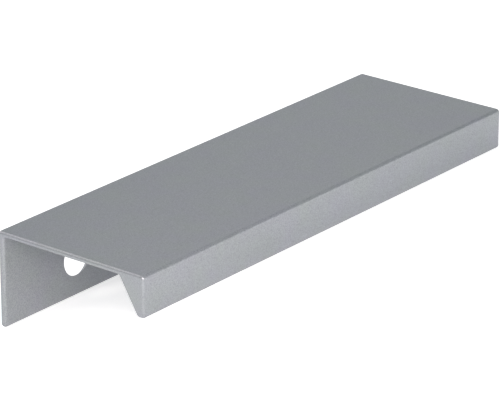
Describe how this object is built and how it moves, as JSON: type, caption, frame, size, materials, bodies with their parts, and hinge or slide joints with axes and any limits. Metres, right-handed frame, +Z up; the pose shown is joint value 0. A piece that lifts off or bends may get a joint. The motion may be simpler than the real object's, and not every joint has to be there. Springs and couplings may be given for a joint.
{
  "type": "finger pull profile",
  "caption": "Extruded aluminium edge pull: a flat plate with a screw-on rear flange and a wedge-shaped finger lip along its front edge.",
  "frame": {"origin": "middle of the underside of the overall box, on the floor that the lip's tip and the flange's lower edge rest on", "axes": "+X along the profile, +Y towards the flange, +Z up; the plate rises towards the back by about 18 degrees"},
  "size_m": [0.15, 0.0526, 0.0248],
  "materials": {
    "anodised_aluminium": "fine matt silver anodised, all edges softly rounded"
  },
  "bodies": {
    "root": {"pull_profile": "anodised_aluminium"}
  },
  "joints": []
}
